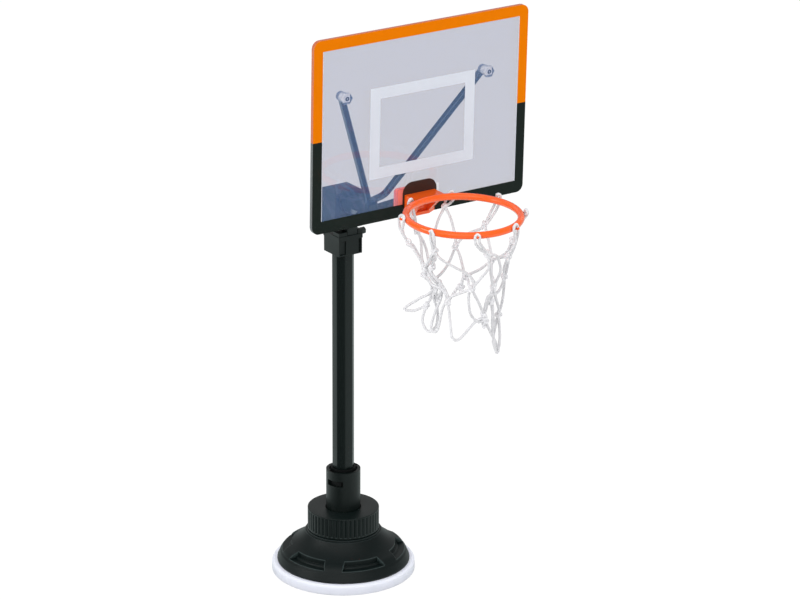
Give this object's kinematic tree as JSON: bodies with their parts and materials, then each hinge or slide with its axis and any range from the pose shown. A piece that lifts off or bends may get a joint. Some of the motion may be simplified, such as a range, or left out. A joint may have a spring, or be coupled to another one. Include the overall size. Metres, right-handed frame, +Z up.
{
  "type": "toy basketball hoop",
  "caption": "Desk-top toy basketball hoop: clear backboard with printed borders, braced rim with a knotted net, slim pole and twist-lock suction base.",
  "frame": {"origin": "middle of the suction pad's underside, where the toy stands on a desk", "axes": "+Z up along the pole; -Y from the pole towards the backboard, rim and player; +X to the side of the pivot knob"},
  "size_m": [0.159, 0.2192, 0.3951],
  "materials": {
    "pad_vinyl": "satin",
    "black_plastic": "satin",
    "steel": "satin",
    "clear_plastic": "gloss",
    "orange_print": "gloss",
    "black_print": "gloss",
    "white_print": "gloss",
    "dark_print": "gloss",
    "orange_plastic": "gloss",
    "net_cord": "matte"
  },
  "bodies": {
    "base": {"suction_pad": "pad_vinyl", "base_dome": "black_plastic"},
    "ring": {"lock_ring": "black_plastic"},
    "stem": {"neck_socket": "black_plastic", "pull_stud": "steel"},
    "pole": {"pole_bush": "black_plastic", "pole": "black_plastic", "head_socket": "black_plastic", "pivot_pin": "steel", "pivot_knob": "black_plastic"},
    "board": {"tilt_head": "black_plastic", "brace_hub": "black_plastic", "hub_screw": "steel", "left_arm": "black_plastic", "right_arm": "black_plastic", "rim_rail": "black_plastic", "backboard": "clear_plastic", "border_upper": "orange_print", "border_lower": "black_print", "shooting_square": "white_print", "rim_arch": "dark_print", "rim_plate": "orange_plastic", "rim_screws": "steel", "boss_screws": "steel", "rim": "orange_plastic", "net": "net_cord"}
  },
  "joints": [
    {"name": "lock_turn", "type": "hinge", "parent": "base", "child": "ring", "pos_m": [0, 0, 0.036], "axis": [0, 0, 1], "range_deg": [-300, 0]},
    {"name": "stem_lift", "type": "slide", "parent": "base", "child": "stem", "axis": [0, 0, 1], "range_m": [0, 0.0025], "deforming": ["suction_pad"]},
    {"name": "pole_twist", "type": "hinge", "parent": "stem", "child": "pole", "pos_m": [0, 0, 0.063], "axis": [0, 0, 1], "range_deg": [-28.5, 5.5]},
    {"name": "board_tilt", "type": "hinge", "parent": "pole", "child": "board", "pos_m": [0, -0.0052, 0.2353], "axis": [1, 0, 0], "range_deg": [-18, 20]}
  ],
  "couplings": [
    {"joint": "lock_turn", "follows": "stem_lift", "rad_per_m": -2094}
  ]
}
